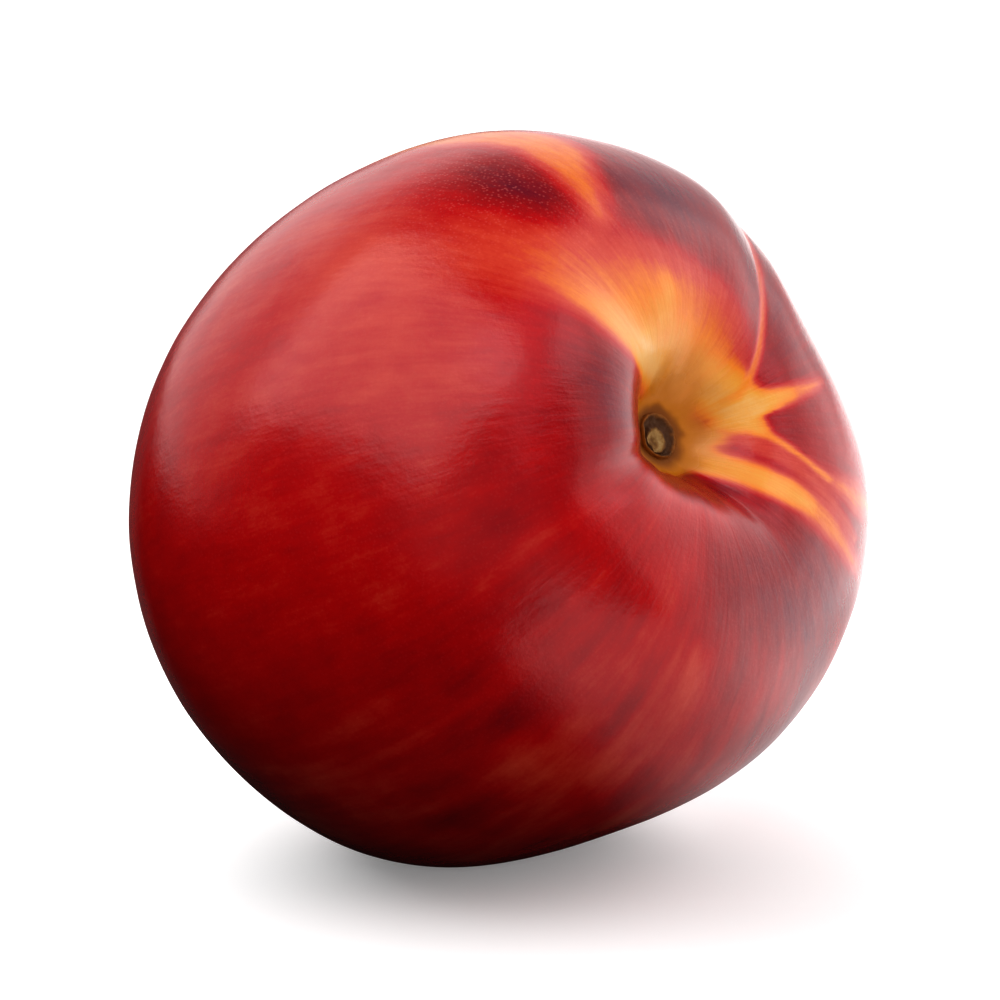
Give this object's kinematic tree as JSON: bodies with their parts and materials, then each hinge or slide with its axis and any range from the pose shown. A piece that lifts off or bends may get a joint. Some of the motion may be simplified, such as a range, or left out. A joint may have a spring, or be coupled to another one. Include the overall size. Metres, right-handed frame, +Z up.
{
  "type": "nectarine",
  "caption": "Whole ripe nectarine lying tipped on its side, stem hollow to the front, with a seam, uneven shoulders and a small flat resting spot.",
  "frame": {"origin": "on the ground, at the middle of the fruit's bounding box as it lies", "axes": "+Z up as the fruit lies; -Y towards the viewer; the stem hollow faces the viewer's right and up, about 25 degrees above the ground and 50 degrees round from -Y towards +X"},
  "size_m": [0.0688, 0.0682, 0.0672],
  "materials": {
    "skin": "smooth waxy fruit skin, dark red blush over orange-yellow ground, satin gloss"
  },
  "bodies": {
    "root": {"nectarine": "skin"}
  },
  "joints": []
}
